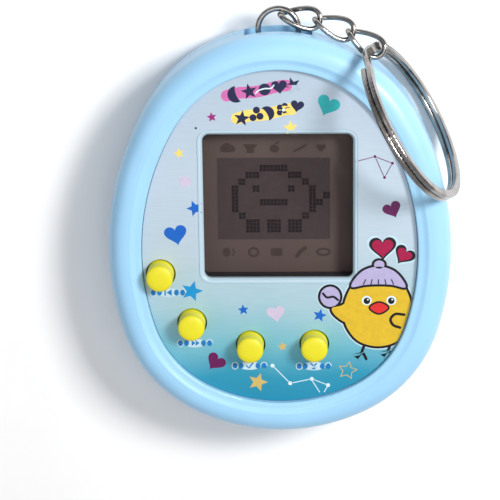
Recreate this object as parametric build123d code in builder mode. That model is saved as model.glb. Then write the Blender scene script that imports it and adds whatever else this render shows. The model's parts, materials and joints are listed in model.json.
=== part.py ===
"""Egg-shaped virtual pet keychain: a two-part plastic case with a printed face plate, a small LCD, four
buttons, a circuit board with a coin cell, and a curb chain with a split key ring.

The case lies on its flat back. Origin: centre of the back face. +Z out of the display face, +Y towards the
chain, +X to the right of the display. Millimetres.
"""
import os
from math import asin, atan2, cos, degrees, pi, radians, sin

from build123d import *

# ---------------------------------------------------------------- driving dimensions
# case outline: an egg of seven tangent arcs
CASE_WIDTH = 50.0
CASE_HEIGHT = 60.0
SIDE_RADIUS = 41.8
CORNER_RADIUS = 20.7
CORNER_FROM = 17.4  # degrees under the widest line where the side arc ends
CORNER_TO = 63.3  # degrees under the widest line where the bottom arc starts
# heights above the back face
PARTING_Z = 6.2
RIM_Z = 13.3  # crest of the front rim
BAND_Z = 12.95  # narrow band between the rim and the face plate
FACE_Z = 12.0  # top of the face plate
SEAT_Z = 11.0  # seat of the face plate
CEILING_Z = 9.4  # inside of the front shell under the seat
WALL = 1.8
FLOOR = 1.4
SEAM = 0.15  # half of the V-groove at the parting line
EDGE_ROUND = 0.3  # small rounds on inner edges of the rim
# rim and face
RIM_ROUND = 2.7
BACK_ROUND = 4.4
INNER_ROUND = 3.0
GROOVE_INSET = 3.45
GROOVE = (0.22, 0.3)  # width, depth
FACE_INSET = 4.9
FIT = 0.08  # gap round a seated piece
# display
WINDOW = (21.7, 21.6)
WINDOW_CENTRE = (-0.15, 4.8)
WINDOW_CORNER = 1.0
WINDOW_BEVEL = 0.45
SLEEVE_CORNER = 0.9
SKIRT_CORNER = 0.8
SLEEVE = (24.2, 24.1)
SLEEVE_HOLE = (22.0, 21.9)
LENS_LOW_Z = 10.2
GLASS = (24.0, 24.6)
GLASS_LOW_Z = 6.7
GLASS_THICK = 1.5
GLASS_TOP_Z = GLASS_LOW_Z + GLASS_THICK
SKIRT = (26.4, 26.9)
CONNECTOR = (22.4, 1.6)
CONNECTOR_INSET = 0.2
# buttons: name and place
BUTTONS = {
    "reset": (-17.4, -5.2),
    "select": (-12.95, -12.75),
    "decide": (-4.4, -16.2),
    "cancel": (5.0, -16.1),
}
BUTTON_R = 1.95
BUTTON_TOP_Z = 15.0
BUTTON_SHOULDER = 0.6
BUTTON_HOLE_R = 2.2
FLANGE_R = 2.8
FLANGE_Z = (8.55, 9.35)
# board and keypad
BOARD_Z = 4.8
BOARD_THICK = 1.0
BOARD_TOP_Z = BOARD_Z + BOARD_THICK
BOARD_INSET = 3.0
BOARD_CUT_Y = 24.0
KEYPAD_R = 3.2
KEYPAD_THICK = 0.4
KEYPAD_BRIDGE = 4.0
DOME_Z = BOARD_TOP_Z + KEYPAD_THICK
DOME_TOP_Z = 8.5
DOME_R = (2.9, 1.7)
DOME_WALL = 0.35
PLUG_R = 1.0  # contact plug under the dome's top
PLUG_HIGH = 1.1
DOME_ROOF = 0.5
# case screws and their bosses
SCREW_PLACES = [(-17.0, 11.6), (17.0, 11.6), (-10.2, -22.0), (10.2, -22.0)]
BOSS_R = 2.2
SCREW_R = 0.85
SCREW_HEAD_R = 1.55
SCREW_RECESS_R = 1.8
SCREW_SEAT_Z = 2.4
SCREW_HEAD = 1.1
SCREW_TIP_Z = 8.8
SCREW_GAP = 0.15  # round a screw in the rear shell and the door
SCREW_EDGE = 0.25
BOARD_HOLE_GAP = 0.25
STAND_OVER_BOSS = 0.3
SLOT = (1.9, 0.45, 0.6)  # cross slot: length, width, depth
# battery bay
CELL_R = 10.0
CELL_THICK = 3.1
CELL_STEP = 0.3  # height of the smaller pole's step
CELL_LIP = 1.3  # width of the step
CELL_Z = 1.45
CELL_CENTRE = (0, 3.0)
BAY_R = 10.3
BAY_WALL = 1.0
DOOR = (28.0, 23.4)
DOOR_CORNER = 4.0
DOOR_RECESS = 1.2
DOOR_Z = (0.0, 1.15)
DOOR_EDGE = 0.2
GRIP = (0.6, 8.0, 0.3)  # groove in the door: width, length, depth
GRIP_PITCH = 1.5
GRIP_COUNT = 5
GRIP_X = -9.0
DOOR_SCREW_X = 12.1
DOOR_BOSS_R = 1.7
DOOR_BOSS_TOP_Z = 4.6
DOOR_SCREW_TIP_Z = 4.4
DOOR_SCREW_SINK = 0.05
DOOR_HEAD = 0.5
DOOR_HEAD_GAP = 0.1
CONTACT_THICK = 0.2
TOP_CONTACT = (9.0, 3.0)
TOP_CONTACT_X = -3.0  # from the cell's middle
SIDE_CONTACT = (1.6, 0.4)  # width, height of its foot over the cell's underside
SIDE_CONTACT_GAP = 0.02
# buzzer, chip and small parts
BUZZER_CENTRE = (0, -15.6)
BUZZER_R = 6.0
BUZZER_STEP = 0.2  # thickness of the brass disc and of the ceramic disc
BUZZER_LIP = 1.5
VENT_R = 0.5
VENT_RING_R = 2.2
SPRING_X = (-2.5, -5.2)  # on the ceramic and on the brass
SPRING_R = 0.6
SPRING_WIRE_R = 0.12
SPRING_TURNS = 4
SPRING_GAP = 0.15  # at each end, so that the wire stays off the disc and the board
CHIP_CENTRE = (6.0, -12.5)
CHIP_R = 3.4
CHIP_HIGH = 1.35
CRYSTAL_CENTRE = (-8.0, -13.5)
CRYSTAL = (6.0, 2.0, 2.0)
CHIP_PLACES = [(-14.0, -6.5), (-15.5, -3.0), (14.2, -8.2), (16.5, -4.5), (15.4, -0.5)]
CHIP_SIZE = (2.0, 1.25, 0.7)
# chain lug at the top of the case
LUG_Y = 28.35
LUG_R = 0.75
POCKET_WIDTH = 9.8
POCKET_BACK_Y = 26.0
POCKET_Z = (4.4, 9.2)
POCKET_WALL = 1.2
POCKET_TOP_GAP = 1.6  # from the top of the case down to the end of the pocket's walls
BEYOND = 10.0  # reach of a cut that runs out of the case
# chain: each link is one closed wire, twisted a quarter turn from end to end
JUMP_CENTRE = (0.0, 30.0, 6.85)
JUMP_R = 2.9
JUMP_WIRE_R = 0.425
LINK_HALF = 2.95  # from the link's middle to the wire's centre in its end bend
LINK_HALF_WIDTH = 1.6
LINK_SQUARE = 0.35  # how much wider the end bends are than an ellipse's
LINK_WIRE_R = 0.38
LINK_COUNT = 3
HOOK_PITCH = 5.0  # between two hook points
CHAIN_GAP = 2.0  # from the case's side to the chain's centre line
CHAIN_START = 1.6  # degrees past the middle of the case
CHAIN_RISE = 0.8  # rise of each link
# split ring: two flat coils of one wire
SPLIT_R = 11.75
SPLIT_WIRE = (1.24, 0.78)
SPLIT_WIRE_ROUND = 0.25
SPLIT_PITCH = 0.82
SPLIT_JOG = 24.0  # degrees taken by the step from coil to coil
SPLIT_JOG_AT = 166.0  # degrees from the ring's far end
SPLIT_LEAN = 13.0
SPLIT_HEADING = -59.0  # degrees from +X of the ring's long direction seen from above
SPLIT_HOOK = 1.45  # from the link's end bend back to the ring's wire
SPLIT_FLOOR = 0.1  # of the ring's lowest point

# ---------------------------------------------------------------- outline
HALF_WIDTH = CASE_WIDTH / 2
SIDE_OFFSET = SIDE_RADIUS - HALF_WIDTH
CORNER_X = -SIDE_OFFSET + (SIDE_RADIUS - CORNER_RADIUS) * cos(radians(CORNER_FROM))
CORNER_Y = -(SIDE_RADIUS - CORNER_RADIUS) * sin(radians(CORNER_FROM))
LOW_RADIUS = CORNER_RADIUS + CORNER_X / cos(radians(CORNER_TO))
LOW_Y = CORNER_Y + (LOW_RADIUS - CORNER_RADIUS) * sin(radians(CORNER_TO))
LOW_REACH = LOW_RADIUS - LOW_Y
WIDEST_Y = LOW_REACH - CASE_HEIGHT / 2
TOP_REACH = CASE_HEIGHT - LOW_REACH
TOP_DROP = SIDE_RADIUS - TOP_REACH
TOP_Y = (SIDE_OFFSET**2 - TOP_DROP**2) / (2 * TOP_DROP)
TOP_RADIUS = TOP_REACH - TOP_Y
TOP_ANGLE = degrees(atan2(TOP_Y, SIDE_OFFSET))


def egg_arcs(inset):
    """Adds the seven arcs of the outline, moved inwards by inset, to the line being built."""
    side, corner = SIDE_RADIUS - inset, CORNER_RADIUS - inset
    turn = CORNER_TO - CORNER_FROM
    CenterArc((-SIDE_OFFSET, WIDEST_Y), side, -CORNER_FROM, CORNER_FROM + TOP_ANGLE)
    CenterArc((0, WIDEST_Y + TOP_Y), TOP_RADIUS - inset, TOP_ANGLE, 180 - 2 * TOP_ANGLE)
    CenterArc((SIDE_OFFSET, WIDEST_Y), side, 180 - TOP_ANGLE, CORNER_FROM + TOP_ANGLE)
    CenterArc((-CORNER_X, WIDEST_Y + CORNER_Y), corner, 180 + CORNER_FROM, turn)
    CenterArc((0, WIDEST_Y + LOW_Y), LOW_RADIUS - inset, 180 + CORNER_TO, 180 - 2 * CORNER_TO)
    CenterArc((CORNER_X, WIDEST_Y + CORNER_Y), corner, -CORNER_TO, turn)


def egg_block(inset, low, high, mode=Mode.ADD):
    """Extrudes the outline from low to high in the part being built."""
    with BuildSketch(Plane.XY.offset(low)) as outline:
        with BuildLine():
            egg_arcs(inset)
        make_face()
    extrude(outline.sketch, amount=high - low, mode=mode)


def discs(places, radius, low, high, mode=Mode.ADD):
    """Extrudes a disc at each place from low to high in the part being built."""
    with BuildSketch(Plane.XY.offset(low)) as sketch:
        with Locations(*places):
            Circle(radius)
    extrude(sketch.sketch, amount=high - low, mode=mode)


def slab(place, size, low, high, corner=0.0, mode=Mode.ADD):
    """Extrudes a rectangle, with round corners if asked, from low to high in the part being built."""
    with BuildSketch(Plane.XY.offset(low)) as sketch:
        with Locations(place):
            if corner:
                RectangleRounded(*size, corner)
            else:
                Rectangle(*size)
    extrude(sketch.sketch, amount=high - low, mode=mode)


def pocket(low, high, cut_low, cut_high):
    """Adds the walls of the chain's pocket from low to high and cuts the pocket itself."""
    depth = CASE_HEIGHT / 2 - POCKET_TOP_GAP - POCKET_BACK_Y + POCKET_WALL
    centre_y = POCKET_BACK_Y - POCKET_WALL + depth / 2
    slab((0, centre_y), (POCKET_WIDTH + 2 * POCKET_WALL, depth), low, high)
    slab((0, POCKET_BACK_Y + BEYOND / 2), (POCKET_WIDTH, BEYOND), cut_low, cut_high, 0, Mode.SUBTRACT)


def ring_edges(builder, z, inset):
    """The outline edges of a part at height z and at this inset."""
    radii = [r - inset for r in (SIDE_RADIUS, CORNER_RADIUS, TOP_RADIUS, LOW_RADIUS)]
    arcs = builder.edges().filter_by(GeomType.CIRCLE)
    level = arcs.filter_by(lambda e: abs((e @ 0).Z - z) < 0.01 and abs((e @ 1).Z - z) < 0.01)
    return level.filter_by(lambda e: min(abs(e.radius - r) for r in radii) < 0.005)


def save(builder, name):
    """Labels a finished piece and writes its STEP file."""
    builder.part.label = name
    export_step(builder.part, f"parts/{name}.step")
    solids = builder.part.solids()
    print(name, len(solids), round(builder.part.volume, 3), all(s.is_valid for s in solids), flush=True)


os.makedirs("parts", exist_ok=True)
BUTTON_PLACES = list(BUTTONS.values())
DOOR_SCREW = (CELL_CENTRE[0] + DOOR_SCREW_X, CELL_CENTRE[1])

# ---------------------------------------------------------------- front shell
with BuildPart() as front_shell:
    egg_block(0, PARTING_Z, RIM_Z)
    fillet(ring_edges(front_shell, RIM_Z, 0), RIM_ROUND)
    egg_block(GROOVE_INSET, BAND_Z, RIM_Z, Mode.SUBTRACT)
    fillet(ring_edges(front_shell, RIM_Z, GROOVE_INSET), EDGE_ROUND)
    egg_block(GROOVE_INSET, BAND_Z - GROOVE[1], BAND_Z, Mode.SUBTRACT)
    egg_block(GROOVE_INSET + GROOVE[0], BAND_Z - GROOVE[1], BAND_Z)
    egg_block(FACE_INSET, SEAT_Z, BAND_Z, Mode.SUBTRACT)
    fillet(ring_edges(front_shell, BAND_Z, FACE_INSET), EDGE_ROUND)
    egg_block(WALL, PARTING_Z, CEILING_Z, Mode.SUBTRACT)
    chamfer(ring_edges(front_shell, PARTING_Z, 0), SEAM)
    discs(SCREW_PLACES, BOSS_R, BOARD_TOP_Z, CEILING_Z)
    discs(SCREW_PLACES, SCREW_R, BOARD_TOP_Z, SCREW_TIP_Z, Mode.SUBTRACT)
    discs(BUTTON_PLACES, BUTTON_HOLE_R, CEILING_Z, SEAT_Z, Mode.SUBTRACT)
    slab(WINDOW_CENTRE, (SLEEVE[0] + 2 * FIT, SLEEVE[1] + 2 * FIT), CEILING_Z, SEAT_Z, WINDOW_CORNER,
         Mode.SUBTRACT)
    pocket(PARTING_Z, CEILING_Z, PARTING_Z, POCKET_Z[1])
save(front_shell, "front_shell")

# ---------------------------------------------------------------- rear shell
with BuildPart() as rear_cavity:
    egg_block(WALL, FLOOR, PARTING_Z)
    fillet(ring_edges(rear_cavity, FLOOR, WALL), INNER_ROUND)

with BuildPart() as rear_shell:
    egg_block(0, 0, PARTING_Z)
    fillet(ring_edges(rear_shell, 0, 0), BACK_ROUND)
    chamfer(ring_edges(rear_shell, PARTING_Z, 0), SEAM)
    add(rear_cavity.part, mode=Mode.SUBTRACT)
    discs(SCREW_PLACES, BOSS_R + STAND_OVER_BOSS, FLOOR / 2, BOARD_Z)
    discs([CELL_CENTRE], BAY_R + BAY_WALL, FLOOR / 2, BOARD_Z - CONTACT_THICK)
    discs([DOOR_SCREW], DOOR_BOSS_R, FLOOR / 2, DOOR_BOSS_TOP_Z)
    pocket(POCKET_Z[0] - FLOOR, PARTING_Z, POCKET_Z[0], PARTING_Z)
    discs([(0, LUG_Y)], LUG_R, POCKET_Z[0], POCKET_Z[1])
    discs([CELL_CENTRE], BAY_R, 0, PARTING_Z, Mode.SUBTRACT)
    slab(CELL_CENTRE, (DOOR[0] + 4 * FIT, DOOR[1] + 4 * FIT), 0, DOOR_RECESS, DOOR_CORNER, Mode.SUBTRACT)
    discs([DOOR_SCREW], SCREW_R, 0, DOOR_SCREW_TIP_Z, Mode.SUBTRACT)
    discs(SCREW_PLACES, SCREW_RECESS_R, 0, SCREW_SEAT_Z, Mode.SUBTRACT)
    discs(SCREW_PLACES, SCREW_R + SCREW_GAP, 0, BOARD_Z, Mode.SUBTRACT)
    with BuildSketch() as vents:
        with Locations(BUZZER_CENTRE):
            with PolarLocations(VENT_RING_R, 6):
                Circle(VENT_R)
            Circle(VENT_R)
    extrude(vents.sketch, amount=FLOOR, mode=Mode.SUBTRACT)
save(rear_shell, "rear_shell")

with BuildPart() as battery_door:
    slab(CELL_CENTRE, DOOR, *DOOR_Z, DOOR_CORNER)
    chamfer(battery_door.faces().sort_by(Axis.Z)[0].edges(), DOOR_EDGE)
    discs([DOOR_SCREW], SCREW_R + SCREW_GAP, *DOOR_Z, Mode.SUBTRACT)
    discs([DOOR_SCREW], SCREW_HEAD_R + DOOR_HEAD_GAP, DOOR_Z[0], DOOR_SCREW_SINK + DOOR_HEAD, Mode.SUBTRACT)
    with BuildSketch(Plane.XY.offset(DOOR_Z[0])) as grips:
        with Locations((CELL_CENTRE[0] + GRIP_X, CELL_CENTRE[1])):
            with GridLocations(GRIP_PITCH, 0, GRIP_COUNT, 1):
                SlotOverall(GRIP[1], GRIP[0], rotation=90)
    extrude(grips.sketch, amount=GRIP[2], mode=Mode.SUBTRACT)
save(battery_door, "battery_door")


def cross_slot(places, z, depth):
    """Cuts a cross slot this deep up into the screw heads whose outer faces are at height z."""
    for turn in (0, 90):
        with BuildSketch(Plane.XY.offset(z)) as sketch:
            with Locations(*places):
                Rectangle(SLOT[0], SLOT[1], rotation=turn)
        extrude(sketch.sketch, amount=depth, mode=Mode.SUBTRACT)


with BuildPart() as door_screw:
    discs([DOOR_SCREW], SCREW_HEAD_R, DOOR_SCREW_SINK, DOOR_SCREW_SINK + DOOR_HEAD)
    discs([DOOR_SCREW], SCREW_R, DOOR_SCREW_SINK + DOOR_HEAD, DOOR_SCREW_TIP_Z)
    cross_slot([DOOR_SCREW], DOOR_SCREW_SINK, DOOR_HEAD - FIT)
save(door_screw, "door_screw")

with BuildPart() as case_screws:
    discs(SCREW_PLACES, SCREW_HEAD_R, SCREW_SEAT_Z - SCREW_HEAD, SCREW_SEAT_Z)
    chamfer(case_screws.edges().group_by(Axis.Z)[0], SCREW_EDGE)
    discs(SCREW_PLACES, SCREW_R, SCREW_SEAT_Z, SCREW_TIP_Z)
    cross_slot(SCREW_PLACES, SCREW_SEAT_Z - SCREW_HEAD, SLOT[2])
save(case_screws, "case_screws")

# ---------------------------------------------------------------- face plate, lens and display
with BuildPart() as face_plate:
    egg_block(FACE_INSET + FIT, SEAT_Z, FACE_Z)
    slab(WINDOW_CENTRE, WINDOW, SEAT_Z, FACE_Z, WINDOW_CORNER, Mode.SUBTRACT)
    window_edges = face_plate.faces().sort_by(Axis.Z)[-1].inner_wires()[0].edges()
    chamfer(window_edges, WINDOW_BEVEL)
    discs(BUTTON_PLACES, BUTTON_HOLE_R, SEAT_Z, FACE_Z, Mode.SUBTRACT)
save(face_plate, "face_plate")

with BuildPart() as window_lens:
    slab(WINDOW_CENTRE, SLEEVE, LENS_LOW_Z, SEAT_Z, SLEEVE_CORNER)
save(window_lens, "window_lens")

with BuildPart() as lcd_frame:
    slab(WINDOW_CENTRE, SKIRT, BOARD_TOP_Z, CEILING_Z, SKIRT_CORNER)
    slab(WINDOW_CENTRE, SLEEVE, CEILING_Z, LENS_LOW_Z, SLEEVE_CORNER)
    slab(WINDOW_CENTRE, (GLASS[0] + 2 * FIT, GLASS[1] + 2 * FIT), BOARD_TOP_Z, GLASS_TOP_Z, 0, Mode.SUBTRACT)
    slab(WINDOW_CENTRE, SLEEVE_HOLE, GLASS_TOP_Z, LENS_LOW_Z, SKIRT_CORNER, Mode.SUBTRACT)
save(lcd_frame, "lcd_frame")

with BuildPart() as lcd_panel:
    slab(WINDOW_CENTRE, GLASS, GLASS_LOW_Z, GLASS_TOP_Z)
save(lcd_panel, "lcd_panel")

for name, side in (("upper_connector", 1), ("lower_connector", -1)):
    with BuildPart() as connector:
        reach = (GLASS[1] - CONNECTOR[1]) / 2 - CONNECTOR_INSET
        slab((WINDOW_CENTRE[0], WINDOW_CENTRE[1] + side * reach), CONNECTOR, BOARD_TOP_Z, GLASS_LOW_Z)
    save(connector, name)

# ---------------------------------------------------------------- circuit board and its parts
with BuildPart() as circuit_board:
    egg_block(BOARD_INSET, BOARD_Z, BOARD_TOP_Z)
    slab((0, BOARD_CUT_Y + BEYOND / 2), (CASE_WIDTH, BEYOND), BOARD_Z, BOARD_TOP_Z, 0, Mode.SUBTRACT)
    discs(SCREW_PLACES, SCREW_R + BOARD_HOLE_GAP, BOARD_Z, BOARD_TOP_Z, Mode.SUBTRACT)
save(circuit_board, "circuit_board")

with BuildPart() as chip_cover:
    discs([CHIP_CENTRE], CHIP_R, BOARD_Z - CHIP_HIGH, BOARD_Z)
    fillet(chip_cover.edges().group_by(Axis.Z)[0], CHIP_HIGH * 0.85)
save(chip_cover, "chip_cover")

with BuildPart() as crystal_can:
    slab(CRYSTAL_CENTRE, CRYSTAL[:2], BOARD_Z - CRYSTAL[2], BOARD_Z, 0.495 * CRYSTAL[1])
save(crystal_can, "crystal_can")

with BuildPart() as board_parts:
    with BuildSketch(Plane.XY.offset(BOARD_Z)) as chips:
        with Locations(*CHIP_PLACES):
            Rectangle(*CHIP_SIZE[:2])
    extrude(chips.sketch, amount=-CHIP_SIZE[2])
save(board_parts, "board_parts")

with BuildPart() as keypad_mat:
    discs(BUTTON_PLACES, KEYPAD_R, BOARD_TOP_Z, DOME_Z)
    for start, end in zip(BUTTON_PLACES, BUTTON_PLACES[1:]):
        span = Vector(*end) - Vector(*start)
        turn = degrees(atan2(span.Y, span.X))
        with BuildSketch(Plane.XY.offset(BOARD_TOP_Z)) as bridge:
            with Locations((Vector(*start) + Vector(*end)) / 2):
                SlotCenterToCenter(span.length, KEYPAD_BRIDGE, rotation=turn)
        extrude(bridge.sketch, amount=KEYPAD_THICK)
save(keypad_mat, "keypad_mat")

# ---------------------------------------------------------------- buttons and their rubber domes
for name, place in BUTTONS.items():
    with BuildPart() as button:
        discs([place], FLANGE_R, *FLANGE_Z)
        discs([place], BUTTON_R, FLANGE_Z[1], BUTTON_TOP_Z)
        fillet(button.edges().group_by(Axis.Z)[-1], BUTTON_SHOULDER)
    save(button, f"{name}_button")
    with BuildPart() as dome:
        with BuildSketch(Plane.XZ):
            with BuildLine():
                plug_z, roof_z = DOME_TOP_Z - PLUG_HIGH, DOME_TOP_Z - DOME_ROOF
                Polyline((DOME_R[0], DOME_Z), (DOME_R[1], DOME_TOP_Z), (0, DOME_TOP_Z), (0, plug_z),
                         (PLUG_R, plug_z), (PLUG_R, roof_z), (DOME_R[1] - DOME_WALL, roof_z),
                         (DOME_R[0] - DOME_WALL, DOME_Z), close=True)
            make_face()
        revolve(axis=Axis.Z)
    dome.part = dome.part.moved(Location((*place, 0)))
    save(dome, f"{name}_dome")

# ---------------------------------------------------------------- cell, contacts and buzzer
with BuildPart() as coin_cell:
    discs([CELL_CENTRE], CELL_R, CELL_Z, CELL_Z + CELL_THICK - CELL_STEP)
    fillet(coin_cell.edges().group_by(Axis.Z)[0], EDGE_ROUND)
    discs([CELL_CENTRE], CELL_R - CELL_LIP, CELL_Z + CELL_THICK - CELL_STEP, CELL_Z + CELL_THICK)
save(coin_cell, "coin_cell")

with BuildPart() as top_contact:
    slab((CELL_CENTRE[0] + TOP_CONTACT_X, CELL_CENTRE[1]), TOP_CONTACT, CELL_Z + CELL_THICK, BOARD_Z)
save(top_contact, "top_contact")

with BuildPart() as side_contact:
    y = CELL_CENTRE[1] + CELL_R + SIDE_CONTACT_GAP + CONTACT_THICK / 2
    slab((CELL_CENTRE[0], y), (SIDE_CONTACT[0], CONTACT_THICK), CELL_Z + SIDE_CONTACT[1], BOARD_Z)
save(side_contact, "side_contact")

with BuildPart() as buzzer:
    discs([BUZZER_CENTRE], BUZZER_R, FLOOR, FLOOR + BUZZER_STEP)
    discs([BUZZER_CENTRE], BUZZER_R - BUZZER_LIP, FLOOR + BUZZER_STEP, FLOOR + 2 * BUZZER_STEP)
save(buzzer, "buzzer")

with BuildPart() as buzzer_springs:
    for x, base in zip(SPRING_X, (FLOOR + 2 * BUZZER_STEP, FLOOR + BUZZER_STEP)):
        long = BOARD_Z - base - 2 * SPRING_GAP
        with BuildLine() as coil:
            Helix(long / SPRING_TURNS, long, SPRING_R)
        with BuildSketch(Plane(coil.line @ 0, z_dir=coil.line % 0)) as wire:
            Circle(SPRING_WIRE_R)
        spring = sweep(wire.sketch, path=coil.line, is_frenet=True, mode=Mode.PRIVATE)
        add(spring.moved(Location((BUZZER_CENTRE[0] + x, BUZZER_CENTRE[1], base + SPRING_GAP))))
save(buzzer_springs, "buzzer_springs")

# ---------------------------------------------------------------- chain
def torus(centre, radius, wire, name):
    """Makes and saves a closed wire ring that lies flat."""
    with BuildPart() as ring:
        with BuildSketch(Plane.XZ):
            with Locations((radius, 0)):
                Circle(wire)
        revolve(axis=Axis.Z)
    ring.part = ring.part.moved(Location(centre))
    save(ring, name)


torus(JUMP_CENTRE, JUMP_R, JUMP_WIRE_R, "jump_ring")

CHAIN_R = TOP_RADIUS + CHAIN_GAP
CHAIN_STEP = degrees(2 * asin(HOOK_PITCH / 2 / CHAIN_R))


def hook_point(k):
    """The place where the chain's pieces k and k + 1 are hooked together, k from 0 at the jump ring."""
    turn = radians(CHAIN_START + CHAIN_STEP * k)
    z = JUMP_CENTRE[2] + CHAIN_RISE * k
    return Vector(CHAIN_R * sin(turn), WIDEST_Y + TOP_Y + CHAIN_R * cos(turn), z)


def link_point(t):
    """A point of the link's centre line: a squared ellipse whose cross direction turns from up to inwards."""
    x = LINK_HALF * cos(t)
    side = LINK_HALF_WIDTH * sin(t) * (1 + LINK_SQUARE * cos(t) ** 2)
    twist = radians(45 + 45 * cos(t))
    return (x, -side * sin(twist), side * cos(twist))


def link_tangent(t):
    """The direction of the link's centre line at t."""
    return Vector(*link_point(t + 0.001)) - Vector(*link_point(t - 0.001))


with BuildPart() as plain_link:
    for q in range(4):
        first, last = pi / 2 * q, pi / 2 * (q + 1)
        stretch = [link_point(first + pi / 2 * i / 6) for i in range(7)]
        with BuildLine() as wire_line:
            Spline(*stretch, tangents=[link_tangent(first), link_tangent(last)])
        with BuildSketch(Plane(wire_line.line @ 0, z_dir=wire_line.line % 0)) as wire:
            Circle(LINK_WIRE_R)
        sweep(wire.sketch, path=wire_line.line)

for k in range(LINK_COUNT):
    start, end = hook_point(k), hook_point(k + 1)
    along = (end - start).normalized()
    flat = Vector(0, 0, 1).cross(along).normalized()
    place = Plane(origin=(start + end) / 2, x_dir=along, z_dir=along.cross(flat))
    with BuildPart() as link:
        add(plain_link.part.moved(place.location))
    save(link, f"chain_link_{k + 1}")

# ---------------------------------------------------------------- split ring
last_start, last_end = hook_point(LINK_COUNT - 1), hook_point(LINK_COUNT)
pull = (last_end - last_start).normalized()
link_half_gap = LINK_HALF - HOOK_PITCH / 2
hook_wire = last_end + pull * (link_half_gap - SPLIT_HOOK)
heading = Vector(cos(radians(SPLIT_HEADING)), sin(radians(SPLIT_HEADING)), 0)
outward = Vector(-heading.Y, heading.X, 0)
lean = radians(SPLIT_LEAN)
upright = Vector(0, 0, cos(lean)) - outward * sin(lean)
split_z = (SPLIT_R + SPLIT_WIRE[0] / 2) * cos(lean) + SPLIT_PITCH * sin(lean) + SPLIT_FLOOR
climb = asin((split_z - hook_wire.Z) / cos(lean) / SPLIT_R)
split_centre = hook_wire + heading * (SPLIT_R * cos(climb)) + upright * (SPLIT_R * sin(climb))


def wire_section(angle, axial):
    """The plane of the split ring's flat wire at this angle round the ring and this shift along its axis."""
    a = radians(angle)
    return Plane(origin=(SPLIT_R * cos(a), SPLIT_R * sin(a), axial), x_dir=(cos(a), sin(a), 0),
                 z_dir=(-sin(a), cos(a), 0))


with BuildPart() as flat_ring:
    jog_sections = []
    for angle, axial in ((-SPLIT_JOG / 2, -SPLIT_PITCH / 2), (0, 0), (SPLIT_JOG / 2, SPLIT_PITCH / 2)):
        with BuildSketch(wire_section(angle, axial)) as flat_wire:
            RectangleRounded(*SPLIT_WIRE, SPLIT_WIRE_ROUND)
        jog_sections.append(flat_wire.sketch.faces()[0])
    for axial in (-SPLIT_PITCH / 2, SPLIT_PITCH / 2):
        with BuildSketch(wire_section(SPLIT_JOG / 2, axial)) as flat_wire:
            RectangleRounded(*SPLIT_WIRE, SPLIT_WIRE_ROUND)
        revolve(flat_wire.sketch, axis=Axis.Z, revolution_arc=360 - SPLIT_JOG)
    add(loft(jog_sections, mode=Mode.PRIVATE))
ring_place = Plane(origin=split_centre, x_dir=heading, z_dir=heading.cross(upright))
flat_ring.part = flat_ring.part.rotate(Axis.Z, SPLIT_JOG_AT).moved(ring_place.location)
save(flat_ring, "split_ring")
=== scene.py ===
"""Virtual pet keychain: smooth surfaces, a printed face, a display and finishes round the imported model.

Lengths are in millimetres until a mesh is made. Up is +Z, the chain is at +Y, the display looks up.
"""
import json
from math import acos, atan2, cos, pi, radians, sin, tan

import bmesh
import bpy
import numpy as np
from mathutils import Matrix, Vector


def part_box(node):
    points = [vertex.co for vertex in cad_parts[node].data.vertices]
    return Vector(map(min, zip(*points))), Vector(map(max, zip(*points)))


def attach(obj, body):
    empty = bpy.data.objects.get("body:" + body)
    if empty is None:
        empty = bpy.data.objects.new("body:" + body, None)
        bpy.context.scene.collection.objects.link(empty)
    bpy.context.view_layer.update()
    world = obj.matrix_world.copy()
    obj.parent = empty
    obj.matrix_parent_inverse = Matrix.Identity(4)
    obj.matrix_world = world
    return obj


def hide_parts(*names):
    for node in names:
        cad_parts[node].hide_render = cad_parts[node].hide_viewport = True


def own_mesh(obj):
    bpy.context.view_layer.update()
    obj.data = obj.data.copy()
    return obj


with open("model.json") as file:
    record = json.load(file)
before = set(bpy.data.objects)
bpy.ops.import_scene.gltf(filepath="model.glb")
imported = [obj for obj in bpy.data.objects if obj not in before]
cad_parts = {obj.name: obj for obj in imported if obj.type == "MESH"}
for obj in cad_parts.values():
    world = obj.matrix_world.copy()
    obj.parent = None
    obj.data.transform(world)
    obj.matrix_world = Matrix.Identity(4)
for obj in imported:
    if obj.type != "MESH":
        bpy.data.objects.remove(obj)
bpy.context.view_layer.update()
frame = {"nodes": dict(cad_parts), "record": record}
NODES = frame["nodes"]
MM = 0.001

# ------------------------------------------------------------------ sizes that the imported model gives


def low_high(node):
    """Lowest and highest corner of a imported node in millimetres."""
    low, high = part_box(node)
    return np.array(low) / MM, np.array(high) / MM


def middle(node):
    """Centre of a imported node's box in millimetres."""
    low, high = low_high(node)
    return (low + high) / 2


SHELL_HIGH = low_high("front_shell")[1]
PLATE_LOW, PLATE_HIGH = low_high("face_plate")
HALF_WIDTH = SHELL_HIGH[0]
HALF_HEIGHT = 30.0
RIM_Z, FACE_Z = SHELL_HIGH[2], PLATE_HIGH[2]
BUTTONS = {name: middle(f"{name}_button") for name in ("reset", "select", "decide", "cancel")}
BUTTON_TOP_Z = low_high("reset_button")[1][2]
WINDOW_CENTRE = middle("window_lens")[:2]
LCD_TOP_Z = low_high("lcd_panel")[1][2]
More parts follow.
